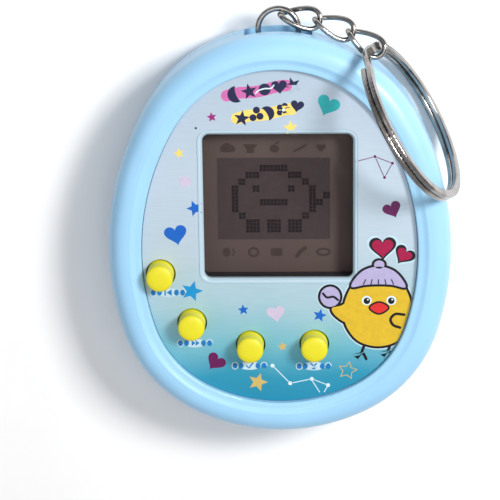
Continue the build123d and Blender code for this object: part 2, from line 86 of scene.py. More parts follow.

# ------------------------------------------------------------------ case outline: six tangent arcs
SIDE_RADIUS, CORNER_RADIUS = 41.8, 20.7
CORNER_FROM, CORNER_TO = radians(17.4), radians(63.3)
SIDE_OFFSET = SIDE_RADIUS - HALF_WIDTH
CORNER_X = -SIDE_OFFSET + (SIDE_RADIUS - CORNER_RADIUS) * cos(CORNER_FROM)
CORNER_Y = -(SIDE_RADIUS - CORNER_RADIUS) * sin(CORNER_FROM)
LOW_RADIUS = CORNER_RADIUS + CORNER_X / cos(CORNER_TO)
LOW_Y = CORNER_Y + (LOW_RADIUS - CORNER_RADIUS) * sin(CORNER_TO)
WIDEST_Y = LOW_RADIUS - LOW_Y - HALF_HEIGHT
TOP_DROP = SIDE_RADIUS - (HALF_HEIGHT - WIDEST_Y)
TOP_Y = (SIDE_OFFSET**2 - TOP_DROP**2) / (2 * TOP_DROP)
TOP_RADIUS = HALF_HEIGHT - WIDEST_Y - TOP_Y
TOP_ANGLE = atan2(TOP_Y, SIDE_OFFSET)
# for each arc: the direction in which its outward normal starts, its radius and its centre
ARCS = [
    (-CORNER_FROM, SIDE_RADIUS, -SIDE_OFFSET, 0),
    (TOP_ANGLE, TOP_RADIUS, 0, TOP_Y),
    (pi - TOP_ANGLE, SIDE_RADIUS, SIDE_OFFSET, 0),
    (pi + CORNER_FROM, CORNER_RADIUS, -CORNER_X, CORNER_Y),
    (pi + CORNER_TO, LOW_RADIUS, 0, LOW_Y),
    (2 * pi - CORNER_TO, CORNER_RADIUS, CORNER_X, CORNER_Y),
]


def egg(phi, inset):
    """Outline points: the arc's centre + (radius - inset) * (cos phi, sin phi), phi the normal's direction."""
    phi = (np.asarray(phi, float) + CORNER_FROM) % (2 * pi) - CORNER_FROM
    arc = np.searchsorted([a[0] for a in ARCS], phi + 1e-12, side="right") - 1
    radius, x, y = (np.array([a[k] for a in ARCS])[arc] for k in (1, 2, 3))
    return np.stack([x + (radius - inset) * np.cos(phi), WIDEST_Y + y + (radius - inset) * np.sin(phi)], -1)


def egg_steps(step):
    """Normal directions round the outline, about step apart along it."""
    starts = [a[0] for a in ARCS] + [2 * pi - CORNER_FROM]
    return np.concatenate([np.linspace(a, b, max(2, int(arc[1] * (b - a) / step)), endpoint=False)
                           for a, b, arc in zip(starts, starts[1:], ARCS)])


# ------------------------------------------------------------------ mesh makers


def mesh_object(name, points, faces, material, smooth=True, merge=0.0):
    """A mesh object from points in millimetres and faces of point numbers."""
    mesh = bpy.data.meshes.new(name)
    mesh.from_pydata((np.asarray(points, float).reshape(-1, 3) * MM).tolist(), [], faces)
    bm = bmesh.new()
    bm.from_mesh(mesh)
    if merge:
        bmesh.ops.remove_doubles(bm, verts=bm.verts, dist=merge * MM)
        bmesh.ops.dissolve_degenerate(bm, dist=merge * MM, edges=bm.edges)
    bmesh.ops.recalc_face_normals(bm, faces=bm.faces)
    bm.to_mesh(mesh)
    bm.free()
    mesh.materials.append(material)
    mesh.polygons.foreach_set("use_smooth", np.full(len(mesh.polygons), smooth))
    mesh.update()
    obj = bpy.data.objects.new(name, mesh)
    bpy.context.scene.collection.objects.link(obj)
    return obj


def grid_faces(rows, cols, wrap_rows):
    """Quads of a grid of rows x cols points. The columns close on themselves, and the rows do if asked."""
    i = np.arange(rows if wrap_rows else rows - 1)
    i, j = (a.ravel() for a in np.meshgrid(i, np.arange(cols), indexing="ij"))
    k, m = (i + 1) % rows, (j + 1) % cols
    return np.stack([i * cols + j, i * cols + m, k * cols + m, k * cols + j], 1).tolist()


def grid_object(name, points, material, wrap_rows=True, merge=0.0):
    """A surface from an array of points (rows, cols, 3). Open ends along the rows get one cap face each."""
    rows, cols = points.shape[:2]
    faces = grid_faces(rows, cols, wrap_rows)
    if not wrap_rows:
        faces += [list(range(cols))[::-1], list(range((rows - 1) * cols, rows * cols))]
    return mesh_object(name, points, faces, material, merge=merge)


def rounded(corners, steps):
    """A closed profile from (a, b, radius) corners: each corner becomes an arc tangent to its two sides."""
    points = []
    count = len(corners)
    for n, (a, b, radius) in enumerate(corners):
        here = np.array([a, b], float)
        if not radius:
            points.append(here[None])
            continue
        before = np.array(corners[n - 1][:2], float) - here
        after = np.array(corners[(n + 1) % count][:2], float) - here
        before /= np.linalg.norm(before)
        after /= np.linalg.norm(after)
        half = acos(np.clip(before @ after, -1, 1)) / 2
        centre = here + (before + after) / np.linalg.norm(before + after) * radius / sin(half)
        start = here + before * radius / tan(half) - centre
        end = here + after * radius / tan(half) - centre
        first = atan2(start[1], start[0])
        turn = (atan2(end[1], end[0]) - first + pi) % (2 * pi) - pi
        arc = first + turn * np.linspace(0, 1, max(3, int(steps * (1 + radius))))
        points.append(centre + radius * np.stack([np.cos(arc), np.sin(arc)], 1))
    return np.concatenate(points)


def spin(name, centre, profile, material, steps=96):
    """Turns a profile of (radius, z) points round a vertical axis: (x, y) = centre + radius (cos a, sin a)."""
    a = np.linspace(0, 2 * pi, steps, endpoint=False)
    r, z = profile[:, :1], profile[:, 1:]
    points = np.stack([centre[0] + r * np.cos(a), centre[1] + r * np.sin(a), z + 0 * a], -1)
    return grid_object(name, points, material, wrap_rows=False, merge=1e-5)


def filled(name, outer, holes, low, high, material):
    """A flat plate between two heights: a filled curve with holes."""
    curve = bpy.data.curves.new(name, "CURVE")
    curve.dimensions, curve.fill_mode = "2D", "BOTH"
    curve.extrude = (high - low) / 2 * MM
    for loop in [outer] + list(holes):
        spline = curve.splines.new("POLY")
        spline.points.add(len(loop) - 1)
        flat = np.zeros((len(loop), 4))
        flat[:, :2], flat[:, 3] = np.asarray(loop) * MM, 1
        spline.points.foreach_set("co", flat.ravel())
        spline.use_cyclic_u = True
    temporary = bpy.data.objects.new(name, curve)
    bpy.context.scene.collection.objects.link(temporary)
    mesh = bpy.data.meshes.new_from_object(temporary.evaluated_get(bpy.context.evaluated_depsgraph_get()))
    bpy.data.objects.remove(temporary)
    mesh.transform(Matrix.Translation((0, 0, (high + low) / 2 * MM)))
    bm = bmesh.new()
    bm.from_mesh(mesh)
    bmesh.ops.remove_doubles(bm, verts=bm.verts, dist=1e-8)
    bmesh.ops.recalc_face_normals(bm, faces=bm.faces)
    bm.to_mesh(mesh)
    bm.free()
    mesh.name = name
    mesh.materials.clear()
    mesh.materials.append(material)
    mesh.polygons.foreach_set("use_smooth", np.full(len(mesh.polygons), False))
    obj = bpy.data.objects.new(name, mesh)
    bpy.context.scene.collection.objects.link(obj)
    return obj


def round_rect(centre, size, corner, steps=8):
    """A rectangle's outline with round corners."""
    x, y = size[0] / 2, size[1] / 2
    return rounded([(x, -y, corner), (x, y, corner), (-x, y, corner), (-x, -y, corner)], steps) + centre


# ------------------------------------------------------------------ finishes


class Finish:
    """A material with its node tree and a few short ways to add nodes."""

    def __init__(self, name, **values):
        self.material = bpy.data.materials.new(name)
        self.material.use_nodes = True
        self.tree = self.material.node_tree
        self.shader = self.tree.nodes["Principled BSDF"]
        for key, value in values.items():
            self.shader.inputs[key.replace("_", " ")].default_value = value

    def node(self, kind, inputs=(), **settings):
        """Adds a node. Each input is a socket to link or a value to set."""
        node = self.tree.nodes.new("ShaderNode" + kind)
        for key, value in settings.items():
            setattr(node, key, value)
        for key, value in dict(inputs).items():
            if isinstance(value, bpy.types.NodeSocket):
                self.tree.links.new(value, node.inputs[key])
            else:
                node.inputs[key].default_value = value
        return node

    def link(self, socket, name):
        """Links a socket to the shader's named input."""
        self.tree.links.new(socket, self.shader.inputs[name])

    def place(self):
        """Object coordinates in metres."""
        return self.node("TexCoord").outputs["Object"]

    def noise(self, scale, detail=3.0, rough=0.5, stretch=(1, 1, 1)):
        """Noise on object coordinates, scale in waves per millimetre along each stretched axis."""
        mapped = self.node("Mapping", {"Vector": self.place(), "Scale": [s / MM for s in stretch]})
        return self.node("TexNoise", {"Vector": mapped.outputs[0], "Scale": scale, "Detail": detail,
                                      "Roughness": rough}).outputs["Fac"]

    def ramp(self, value, stops):
        """Colours for a value, from (position, colour) stops."""
        node = self.node("ValToRGB", {"Fac": value})
        while len(node.color_ramp.elements) < len(stops):
            node.color_ramp.elements.new(0.5)
        for element, (at, colour) in zip(node.color_ramp.elements, stops):
            element.position = at
            element.color = colour if len(colour) == 4 else (*colour, 1)
        return node.outputs["Color"]

    def bump(self, height, strength, distance=0.02):
        """Relief from a height socket, distance in millimetres."""
        node = self.node("Bump", {"Height": height, "Strength": strength, "Distance": distance * MM})
        self.link(node.outputs[0], "Normal")

    def rough(self, value, low, high):
        """Roughness that runs from low to high as the value runs from 0 to 1."""
        node = self.node("MapRange", {"Value": value, "To Min": low, "To Max": high})
        self.link(node.outputs[0], "Roughness")


def srgb(red, green, blue):
    """Linear colour from 0 to 255 screen values."""
    c = np.array([red, green, blue]) / 255
    return tuple(np.where(c <= 0.04045, c / 12.92, ((c + 0.055) / 1.055) ** 2.4))


def tint(colour, factor):
    """The colour times a factor, at most 1 in each channel."""
    return tuple(min(1.0, c * factor) for c in colour)


def plain(name, colour, rough, spread=0.06, grain=1.5, bump=0.05, **values):
    """A moulded or plated surface: the colour drifts a little, and fine grain breaks the gloss."""
    f = Finish(name, **values)
    drift = f.noise(0.12, 2)
    f.link(f.ramp(drift, [(0.3, tint(colour, 1 - spread)), (0.7, tint(colour, 1 + spread))]), "Base Color")
    fine = f.noise(grain, 4, 0.6)
    f.rough(fine, rough * 0.85, min(1, rough * 1.2))
    if bump:
        f.bump(fine, bump)
    return f.material


CASE = srgb(158, 208, 242)
case_blue = plain("case_blue", CASE, 0.36, spread=0.03, grain=2.2, Coat_Weight=0.12, Coat_Roughness=0.2)
button_yellow = plain("button_yellow", srgb(228, 214, 24), 0.42, spread=0.03, grain=2.5, Subsurface_Weight=0.08,
                      Coat_Weight=0.1)
dark_plastic = plain("dark_plastic", srgb(44, 42, 46), 0.5, grain=3)
dark_rubber = plain("dark_rubber", srgb(40, 40, 40), 0.7, grain=4)
grey_rubber = plain("grey_rubber", srgb(150, 152, 158), 0.65, grain=3)
dark_epoxy = plain("dark_epoxy", srgb(24, 24, 27), 0.25, grain=0.8, bump=0.2)
ceramic_chips = plain("ceramic_chips", srgb(150, 128, 100), 0.5, spread=0.15, grain=2)
contact_metal = plain("contact_metal", srgb(205, 203, 195), 0.3, grain=3, Metallic=1.0)
brass_disc = plain("brass_disc", srgb(210, 178, 104), 0.3, grain=2, Metallic=1.0)
screw_steel = plain("screw_steel", srgb(150, 150, 152), 0.35, spread=0.1, grain=3, bump=0.15, Metallic=1.0)
nickel = plain("nickel", srgb(205, 205, 200), 0.3, grain=2, Metallic=1.0)


def plated(name, scale):
    """Polished nickel wire: bright, with drawn marks, faint pits and a slightly warm tone; the base colour is kept
    dark and patchy as painted reflection of dark surroundings.
    """
    f = Finish(name, Metallic=1.0)
    tone_and_painted_reflection = f.noise(0.25, 3, 0.6)
    # painted reflection: the dark and mid patches of the base colour stand in for dark surroundings mirrored in
    # the polished wire
    f.link(f.ramp(tone_and_painted_reflection, [(0.25, srgb(102, 95, 92)), (0.5, srgb(168, 165, 162)), (0.85, srgb(128, 121, 117))]),
           "Base Color")
    marks = f.noise(scale, 5, 0.65)
    f.rough(marks, 0.08, 0.26)
    f.bump(marks, 0.3, 0.03)
    return f.material


chain_nickel = plated("chain_nickel", 1.6)
ring_nickel = plated("ring_nickel", 1.1)


def board_finish():
    """Green solder mask over copper: traces show as slightly lighter, raised stripes in two directions."""
    f = Finish("board_green", Roughness=0.3)
    mapped = f.node("Mapping", {"Vector": f.place(), "Scale": (1 / MM, 1 / MM, 1 / MM)})
    waves = [f.node("TexWave", {"Vector": mapped.outputs[0], "Scale": 0.16, "Distortion": 5.0, "Detail": 1.0},
                    bands_direction=axis).outputs["Fac"] for axis in ("X", "Y")]
    both = f.node("Math", {0: waves[0], 1: waves[1]}, operation="MULTIPLY").outputs[0]
    f.link(f.ramp(both, [(0.45, srgb(14, 92, 44)), (0.55, srgb(30, 128, 66))]), "Base Color")
    f.bump(both, 0.3, 0.03)
    return f.material


def plate_finish():
    """Printed metal plate: fine brushing across, silver blue above running into teal towards the bottom edge."""
    f = Finish("printed_plate", Metallic=0.2, Roughness=0.38, Coat_Weight=0.15, Coat_Roughness=0.2)
    mapped = f.node("Mapping", {"Vector": f.place(), "Scale": (1 / MM, 1 / MM, 1 / MM)})
    y = f.node("SeparateXYZ", {"Vector": mapped.outputs[0]}).outputs["Y"]
    down = f.node("MapRange", {"Value": y, "From Min": PLATE_LOW[1], "From Max": PLATE_HIGH[1]}).outputs[0]
    cloud = f.noise(0.1, 2, 0.5)
    wobble = f.node("Math", {0: cloud, 1: 0.5}, operation="SUBTRACT").outputs[0]
    at = f.node("Math", {0: wobble, 1: 0.1, 2: down}, operation="MULTIPLY_ADD").outputs[0]
    tone = f.ramp(at, [(0.0, srgb(16, 138, 174)), (0.08, srgb(40, 150, 182)), (0.18, srgb(112, 184, 202)),
                       (0.3, srgb(166, 200, 212)), (0.45, srgb(184, 203, 216)), (0.7, srgb(188, 204, 218)),
                       (1.0, srgb(172, 190, 206))])
    lines = f.noise(1.0, 4, 0.7, stretch=(0.25, 7, 1))
    shade = f.node("MapRange", {"Value": lines, "From Min": 0.3, "From Max": 0.7,
                                "To Min": 0.93, "To Max": 1.05})
    brushed = f.node("VectorMath", {0: tone, 1: (1, 1, 1)}, operation="MULTIPLY")
    f.tree.links.new(shade.outputs[0], brushed.inputs[1])
    f.link(brushed.outputs[0], "Base Color")
    f.rough(lines, 0.3, 0.5)
    f.bump(lines, 0.08, 0.01)
    return f.material


def lens_finish():
    """Clear acrylic: nearly invisible, with a polished skin."""
    f = Finish("clear_lens", Roughness=0.04, Alpha=0.03, IOR=1.4)
    haze = f.noise(0.5, 2)
    f.link(f.ramp(haze, [(0.3, srgb(24, 24, 28)), (0.7, srgb(34, 34, 40))]), "Base Color")
    f.rough(haze, 0.03, 0.06)
    return f.material


MATRIX_PITCH = 0.515  # one small dot of the display


def lcd_finish():
    """Display film: brown grey with a warm drift and, over the dot field, a fine lattice of unlit dots."""
    f = Finish("lcd_glass", Roughness=0.6, Specular_IOR_Level=0.2)
    drift = f.noise(0.06, 2)
    tone = f.ramp(drift, [(0.3, srgb(84, 70, 68)), (0.7, srgb(90, 77, 73))])
    mapped = f.node("Mapping", {"Vector": f.place(), "Scale": [1 / MATRIX_PITCH / MM] * 3})
    cell = f.node("VectorMath", {0: mapped.outputs[0]}, operation="FRACTION").outputs[0]
    x, y, _ = f.node("SeparateXYZ", {"Vector": cell}).outputs
    gap = f.node("Math", {0: x, 1: y}, operation="MINIMUM").outputs[0]
    seam = f.node("Math", {0: gap, 1: 0.14}, operation="LESS_THAN").outputs[0]
    shade = f.node("MapRange", {"Value": seam, "To Min": 1.0, "To Max": 0.965}).outputs[0]
    final = f.node("VectorMath", {0: tone, 1: (1, 1, 1)}, operation="MULTIPLY")
    f.tree.links.new(shade, final.inputs[1])
    f.link(final.outputs[0], "Base Color")
    return f.material


def ink(name, colour, rough=0.4, coat=0.2):
    """Screen-printed ink: the colour breaks up a little, as ink does on metal."""
    f = Finish(name, Roughness=rough, Coat_Weight=coat, Coat_Roughness=0.2,
               Specular_IOR_Level=0.3 if coat else 0.05)
    f.link(f.ramp(f.noise(1.2, 4, 0.65), [(0.3, tint(colour, 0.9)), (0.7, tint(colour, 1.06))]), "Base Color")
    return f.material


FINISHES = {
    "case_blue": case_blue,
    "printed_plate": plate_finish(),
    "clear_lens": lens_finish(),
    "dark_plastic": dark_plastic,
    "lcd_glass": lcd_finish(),
    "dark_rubber": dark_rubber,
    "board_green": board_finish(),
    "dark_epoxy": dark_epoxy,
    "nickel": nickel,
    "ceramic_chips": ceramic_chips,
    "grey_rubber": grey_rubber,
    "button_yellow": button_yellow,
    "contact_metal": contact_metal,
    "brass_disc": brass_disc,
    "screw_steel": screw_steel,
    "chain_nickel": chain_nickel,
    "ring_nickel": ring_nickel,
}
for entry in frame["record"]["subparts"]:
    for material_slot in NODES[entry["node"]].material_slots:
        material_slot.material = FINISHES[entry["material_slot"]]


# ------------------------------------------------------------------ camera, light and floor


def camera():
    """Looks down on the face from the chain's side, tilted off the vertical, with a long lens."""
    tilt, aside, roll, distance = radians(16.3), radians(1.15), radians(-0.53), 300.0
    frame_width, per_mm = 500, 6.61  # the frame's width, and how much of it one millimetre of the toy covers
    toward = Vector((sin(aside) * cos(tilt), sin(tilt), cos(aside) * cos(tilt)))
    right = Vector((0, 1, 0)).cross(toward).normalized()
    up = toward.cross(right)
    right, up = cos(roll) * right + sin(roll) * up, -sin(roll) * right + cos(roll) * up
    data = bpy.data.cameras.new("camera")
    data.sensor_width = 36
    data.lens = data.sensor_width * distance * per_mm / frame_width
    data.shift_x, data.shift_y = -0.062, -0.039
    data.clip_start, data.clip_end = 0.01, 10
    obj = bpy.data.objects.new("camera", data)
    spot = Vector((0, WIDEST_Y, 0)) + toward * distance
    obj.matrix_world = Matrix.Translation(spot * MM) @ Matrix((right, up, toward)).transposed().to_4x4()
    bpy.context.scene.collection.objects.link(obj)
    bpy.context.scene.camera = obj


def area_light(name, place, size, energy, colour=(1, 1, 1), target=(0, 0, 5)):
    """A soft square light at a place in millimetres, turned to the toy."""
    data = bpy.data.lights.new(name, "AREA")
    data.size, data.energy, data.color = size * MM, energy, colour
    obj = bpy.data.objects.new(name, data)
    obj.location = Vector(place) * MM
    direction = Vector(target) * MM - obj.location
    obj.rotation_euler = direction.to_track_quat("-Z", "Y").to_euler()
    bpy.context.scene.collection.objects.link(obj)


def studio():
    """Three soft lights, a pale floor, and dark cards beyond the view that give the metal something to reflect."""
    world = bpy.data.worlds.new("studio")
    world.use_nodes = True
    world.node_tree.nodes["Background"].inputs["Color"].default_value = (0.95, 0.97, 1.0, 1)
    world.node_tree.nodes["Background"].inputs["Strength"].default_value = 0.4
    bpy.context.scene.world = world
    area_light("key", (195, 135, 265), size=90, energy=1.12, colour=(1.0, 0.98, 0.96))
    area_light("fill", (-220, -40, 240), size=220, energy=0.1)
    area_light("top", (30, 40, 380), size=240, energy=0.25)
    pale = plain("floor", (0.95, 0.95, 0.955), 0.7, spread=0.01, grain=0.5, bump=0.02)
    floor = filled("floor", round_rect((0, 0), (1600, 1600), 50), [], -2, 0, pale)
    for name, (x, y), size in (("card_left", (-190, 20), (10, 200)), ("card_right", (215, -60), (10, 120)),
                               ("card_far", (40, 230), (170, 10))):
        card = filled(name, round_rect((x, y), size, 2), [], 0, 120, plain(name, (0.04, 0.04, 0.045), 0.8))


camera()
studio()
bpy.context.scene.view_settings.view_transform = "Standard"


# ------------------------------------------------------------------ flat shapes of the print, in millimetres


def turned(points, centre, size=1.0, turn=0.0):
    """Points * size, turned counter-clockwise by turn degrees and moved to centre."""
    c, s = cos(radians(turn)), sin(radians(turn))
    return np.asarray(points, float) * size @ np.array([[c, s], [-s, c]]) + centre


def heart(centre, size, turn=0.0, steps=48):
    """x = 16 sin^3 t, y = 13 cos t - 5 cos 2t - 2 cos 3t - cos 4t, scaled to be size wide."""
    t = np.linspace(0, 2 * pi, steps, endpoint=False)
    x, y = 16 * np.sin(t) ** 3, 13 * np.cos(t) - 5 * np.cos(2 * t) - 2 * np.cos(3 * t) - np.cos(4 * t)
    return turned(np.stack([x, y + 2], 1) / 32, centre, size, turn)


def star(centre, size, turn=0.0, inner=0.45, count=5):
    """count points on a circle of half the size, with inner corners between them."""
    a = pi / 2 + pi * np.arange(2 * count) / count
    r = np.where(np.arange(2 * count) % 2, inner, 1.0) / 2
    return turned(np.stack([r * np.cos(a), r * np.sin(a)], 1), centre, size, turn)


def oval(centre, half, turn=0.0, steps=40):
    """(a cos t, b sin t), turned."""
    t = np.linspace(0, 2 * pi, steps, endpoint=False)
    return turned(np.stack([half[0] * np.cos(t), half[1] * np.sin(t)], 1), centre, 1, turn)


def smooth(points, closed=True, steps=8):
    """Catmull-Rom spline: on each span 0.5 (2 b + (c - a) t + (2a - 5b + 4c - d) t^2 + (3b - a - 3c + d) t^3)."""
    p = np.asarray(points, float)
    if not closed:
        p = np.concatenate([[2 * p[0] - p[1]], p, [2 * p[-1] - p[-2]]])
    a, b, c, d = (np.roll(p, 1 - k, 0)[:, None] for k in range(4))
    t = np.linspace(0, 1, steps, endpoint=False)[None, :, None]
    q = 0.5 * (2 * b + (c - a) * t + (2 * a - 5 * b + 4 * c - d) * t**2 + (3 * b - a - 3 * c + d) * t**3)
    if closed:
        return q.reshape(-1, 2)
    return np.concatenate([q[1:-2].reshape(-1, 2), p[-2:-1]])


def normals(line, closed):
    """Unit normals to the right of the line's direction at each point."""
    d = np.roll(line, -1, 0) - np.roll(line, 1, 0) if closed else np.gradient(line, axis=0)
    d /= np.linalg.norm(d, axis=1, keepdims=True)
    return np.stack([d[:, 1], -d[:, 0]], 1)


def grown(loop, by):
    """A counter-clockwise loop moved outwards along its normals."""
    return loop + by * normals(loop, True)


def stroke(points, width):
    """The outline of an open line drawn with a round pen."""
    line = np.asarray(points, float)
    side = normals(line, False) * width / 2
    t = np.linspace(0, pi, 7)[1:-1, None]
    end = line[-1] + np.cos(t) * side[-1] + np.sin(t) * np.array([-side[-1][1], side[-1][0]])
    start = line[0] - np.cos(t) * side[0] - np.sin(t) * np.array([-side[0][1], side[0][0]])
    return np.concatenate([line + side, end, (line - side)[::-1], start])


PLATE_INSET = 5.06  # just inside the edge of the face plate


def on_plate(loop):
    """Moves the points of a loop that lie off the plate back to its edge, towards the plate's middle."""
    phi = egg_steps(0.5)
    edge = egg(phi, PLATE_INSET) - (0, WIDEST_Y)
    angle = np.arctan2(edge[:, 1], edge[:, 0])
    order = np.argsort(angle)
    local = loop - (0, WIDEST_Y)
    reach = np.interp(np.arctan2(local[:, 1], local[:, 0]), angle[order],
                      np.linalg.norm(edge, axis=1)[order], period=2 * pi)
    far = np.linalg.norm(local, axis=1)
    return local * np.minimum(1, reach / far)[:, None] + (0, WIDEST_Y)


LAYER = 0.012  # thickness of one layer of ink
INK_ROOT = 0.03  # how far ink reaches below the surface it is printed on


def printed(name, loops, layer, material, base=FACE_Z):
    """Ink shapes of one colour: a thin plate from just under the surface up to its layer's height."""
    piece = filled(name, loops[0], loops[1:], base - INK_ROOT, base + LAYER * layer, material)
    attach(piece, "case")
    return piece


NAVY = ink("ink_navy", srgb(16, 22, 66))
PINK = ink("ink_pink", srgb(202, 104, 168))
SAND = ink("ink_sand", srgb(240, 214, 110))
MAGENTA = ink("ink_magenta", srgb(150, 28, 118))
PURPLE = ink("ink_purple", srgb(100, 14, 84))
TEAL = ink("ink_teal", srgb(22, 168, 172))
BLUE = ink("ink_blue", srgb(10, 96, 190))
SKY = ink("ink_sky", srgb(14, 140, 200))
LABEL = ink("ink_label", srgb(20, 118, 186))
PALE = ink("ink_pale", srgb(200, 188, 212))
WHITE = ink("ink_white", srgb(214, 234, 244))
GOLD = ink("ink_gold", srgb(204, 178, 104))
CRIMSON = ink("ink_crimson", srgb(160, 4, 66))
HALO = ink("ink_halo", srgb(190, 216, 228))
BLACK = ink("ink_black", srgb(14, 14, 20), 0.3)
CHICK = ink("ink_chick", srgb(214, 178, 40))
LAVENDER = ink("ink_lavender", srgb(176, 168, 206))
RED = ink("ink_red", srgb(212, 40, 40))


def crescent(centre, size, turn):
    """An outer circle and an inner one shifted aside share two corners; the loop runs along both arcs."""
    out, back = np.linspace(-1.9, 1.9, 20), np.linspace(pi / 2, -pi / 2, 14)
    outer = np.stack([np.cos(out), np.sin(out)], 1) / 2
    inner = np.stack([0.32 * np.cos(back) + cos(1.9), sin(1.9) * np.sin(back)], 1) / 2
    return turned(np.concatenate([outer, inner]), centre, size, turn)


def swash(start, end, height, sway):
    """A brush mark: a rounded band with a slightly wavy upper and lower edge."""
    along = np.array(end) - start
    t = np.linspace(0, 1, 14)[:, None]
    across = np.array([-along[1], along[0]]) / np.linalg.norm(along)
    return stroke(start + along * t + across * sway * np.sin(t * 9), height)


def title():
    """Two brush marks with small navy shapes on them in place of words."""
    printed("print_swash_pink", [swash((-7.3, 21.3), (1.2, 22.7), 1.7, 0.12)], 1, PINK)
    printed("print_swash_sand", [swash((-5.9, 18.0), (2.0, 19.3), 1.7, 0.12)], 1, SAND)
    orbit = smooth([(-1.35, -0.5), (-0.9, -0.1), (0, 0.12), (0.9, 0.1), (1.35, 0.5)], False)
    petals = [oval(np.array((0.75, 19.2)) + turned([(0.62, 0)], (0, 0), 1, 72 * k)[0], (0.44, 0.44), steps=20)
              for k in range(5)]
    trio = [oval(place, (0.5, 0.5), steps=24) for place in ((-3.6, 18.1), (-2.6, 18.3), (-3.1, 19.2))]
    shapes = [
        crescent((-6.0, 21.5), 2.4, 200), star((-4.1, 21.9), 2.4, 12, 0.42), oval((-1.9, 22.2), (0.85, 0.85)),
        heart((0.2, 22.5), 2.2, 6), star((2.1, 22.8), 2.4, 20, 0.42),
        star((-5.2, 18.0), 2.4, -8, 0.42), *trio, crescent((-1.6, 18.7), 2.1, 30), *petals,
        heart((2.7, 19.7), 1.9, -10),
    ]
    printed("print_title", shapes, 3, NAVY)
    light = [stroke(turned(orbit, (-1.9, 22.2), 1, 4), 0.2), oval((0.75, 19.2), (0.22, 0.22))]
    printed("print_title_light", light, 4, WHITE)


def chain_of_dots(points, radius, width):
    """Line pieces between the points, kept clear of the dots, and a dot at each point."""
    p = [np.array(q, float) for q in points]
    lines = [stroke([a + (b - a) * (radius + 0.1) / np.linalg.norm(b - a),
                     b - (b - a) * (radius + 0.1) / np.linalg.norm(b - a)], width) for a, b in zip(p, p[1:])]
    return lines + [oval(q, (radius, radius), steps=20) for q in p]


def motifs():
    """Scattered hearts, stars and constellations."""
    printed("print_magenta", [star((-9.5, 18.2), 1.5, 10)], 1, MAGENTA)
    printed("print_teal", [heart((7.0, 19.7), 3.3, -24)], 1, TEAL)
    printed("print_sand", [star((-14.3, 12.9), 1.6, 15), star((1.75, 16.6), 2.2, 4)], 1, SAND)
    printed("print_dot", [oval((-11.8, 16.6), (0.16, 0.16), steps=16)], 1, NAVY)
    printed("print_pale", [oval((-13.5, 8.7), (0.85, 0.8)), heart((-0.6, -11.5), 2.7, 8)], 1, PALE)
    printed("print_blue", [star((-12.2, 4.7), 2.5, 20), heart((-15.0, 0.6), 3.3, 12), star((-5.4, -10.8), 1.7, 6),
                           star((5.8, -11.7), 2.1, -14)], 1, BLUE)
    printed("print_sky", [star((-12.9, -7.9), 3.3, -16)], 1, SKY)
    printed("print_gold", [star((0.3, -16.5), 1.5, 8), star((-3.4, -22.1), 3.0, -18)], 1, GOLD)
    ring = star((9.9, -20.3), 3.0, -12, 0.5)
    printed("print_gold_ring", [ring, turned(ring - (9.9, -20.3), (9.9, -20.3), 0.84)], 1, GOLD)
    printed("print_purple", [heart((-9.7, -19.0), 2.9, -38), heart((16.4, 4.3), 2.7, 24)], 1, PURPLE)
    lower = chain_of_dots([(-1.2, -19.5), (1.4, -22.3), (4.6, -21.6), (7.0, -22.6)], 0.3, 0.13)
    lower += [stroke([(4.7, -21.95), (5.75, -23.7)], 0.13), stroke([(6.85, -22.95), (6.45, -23.65)], 0.13)]
    printed("print_stars_white", [on_plate(loop) for loop in lower], 1, WHITE)
    upper = chain_of_dots([(11.2, 11.6), (13.8, 12.3), (16.3, 11.3), (15.2, 9.2)], 0.22, 0.11)
    upper += [stroke([(15.05, 9.45), (13.95, 12.0)], 0.11)]
    printed("print_stars_purple", upper, 1, PURPLE)


def labels():
    """A sign under each button: back to start, step on, tick and cross, with dots beside them."""
    signs = {  # each about one millimetre high
        "reset": [np.array([(0.55, 0.5), (-0.2, 0), (0.55, -0.5)]), stroke([(-0.42, 0.4), (-0.42, -0.4)], 0.2)],
        "select": [np.array([(-0.5, 0.45), (-0.5, -0.45), (0.05, 0)]),
                   np.array([(0.1, 0.45), (0.1, -0.45), (0.65, 0)])],
        "decide": [stroke([(-0.45, 0.0), (-0.12, -0.38), (0.5, 0.42)], 0.22)],
        "cancel": [stroke([(-0.4, 0.4), (-0.14, 0.14)], 0.22), stroke([(0.4, -0.4), (0.14, -0.14)], 0.22),
                   stroke([(-0.4, -0.4), (0, 0), (0.4, 0.4)], 0.22)],
    }
    places = {"reset": (-16.4, -8.1), "select": (-12.6, -15.95), "decide": (-4.6, -19.5), "cancel": (4.9, -19.6)}
    bars = [oval((side * x, 0), (0.36, 0.46), steps=20) for side in (-1, 1) for x in (1.25, 2.15)]
    every, halo = [], []
    for name, loops in signs.items():
        every += [turned(loop, places[name]) for loop in loops + bars]
        halo += [oval(np.array(places[name]) + (x, 0), (0.52, 0.6), steps=24) for x in (-2.15, 2.15)]
        halo += [oval(np.array(places[name]), (1.7, 0.66), steps=32)]
    printed("print_label_halo", halo, 1, HALO)
    printed("print_labels", every, 2, LABEL)


